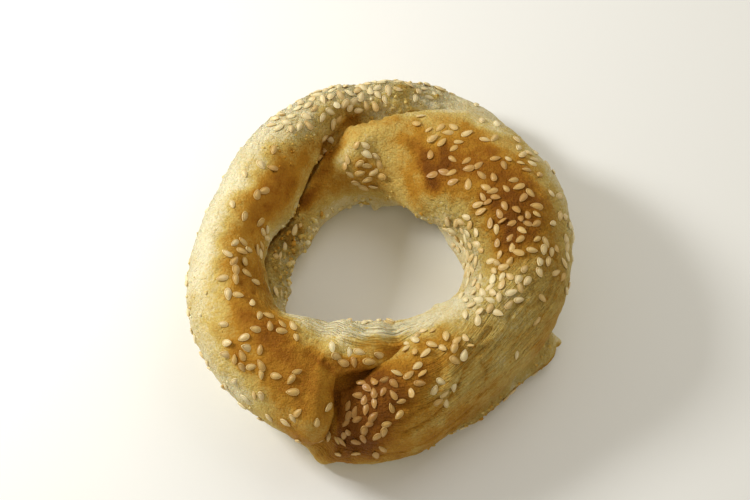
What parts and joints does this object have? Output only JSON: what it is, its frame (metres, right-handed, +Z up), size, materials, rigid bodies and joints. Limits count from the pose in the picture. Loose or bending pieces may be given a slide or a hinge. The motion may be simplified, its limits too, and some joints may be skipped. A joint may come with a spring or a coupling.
{
  "type": "seeded bagel",
  "caption": "Ring-shaped bread of two dough strands twisted round each other, with an uneven crust, a central hole and a scatter of small seeds baked on.",
  "frame": {"origin": "on the surface it rests on, under the middle of its bounding box", "axes": "+Z up through the hole; +Y towards the back of the ring, where one strand of the twist crosses over the other; +X to the right, so that -Y is the front with the pressed-out flap at its right"},
  "size_m": [0.1079, 0.1189, 0.037],
  "materials": {
    "baked_crust": "matte baked crust, cream to brown, slightly glossy on the browned crests"
  },
  "bodies": {
    "root": {"seeded_ring": "baked_crust"}
  },
  "joints": []
}
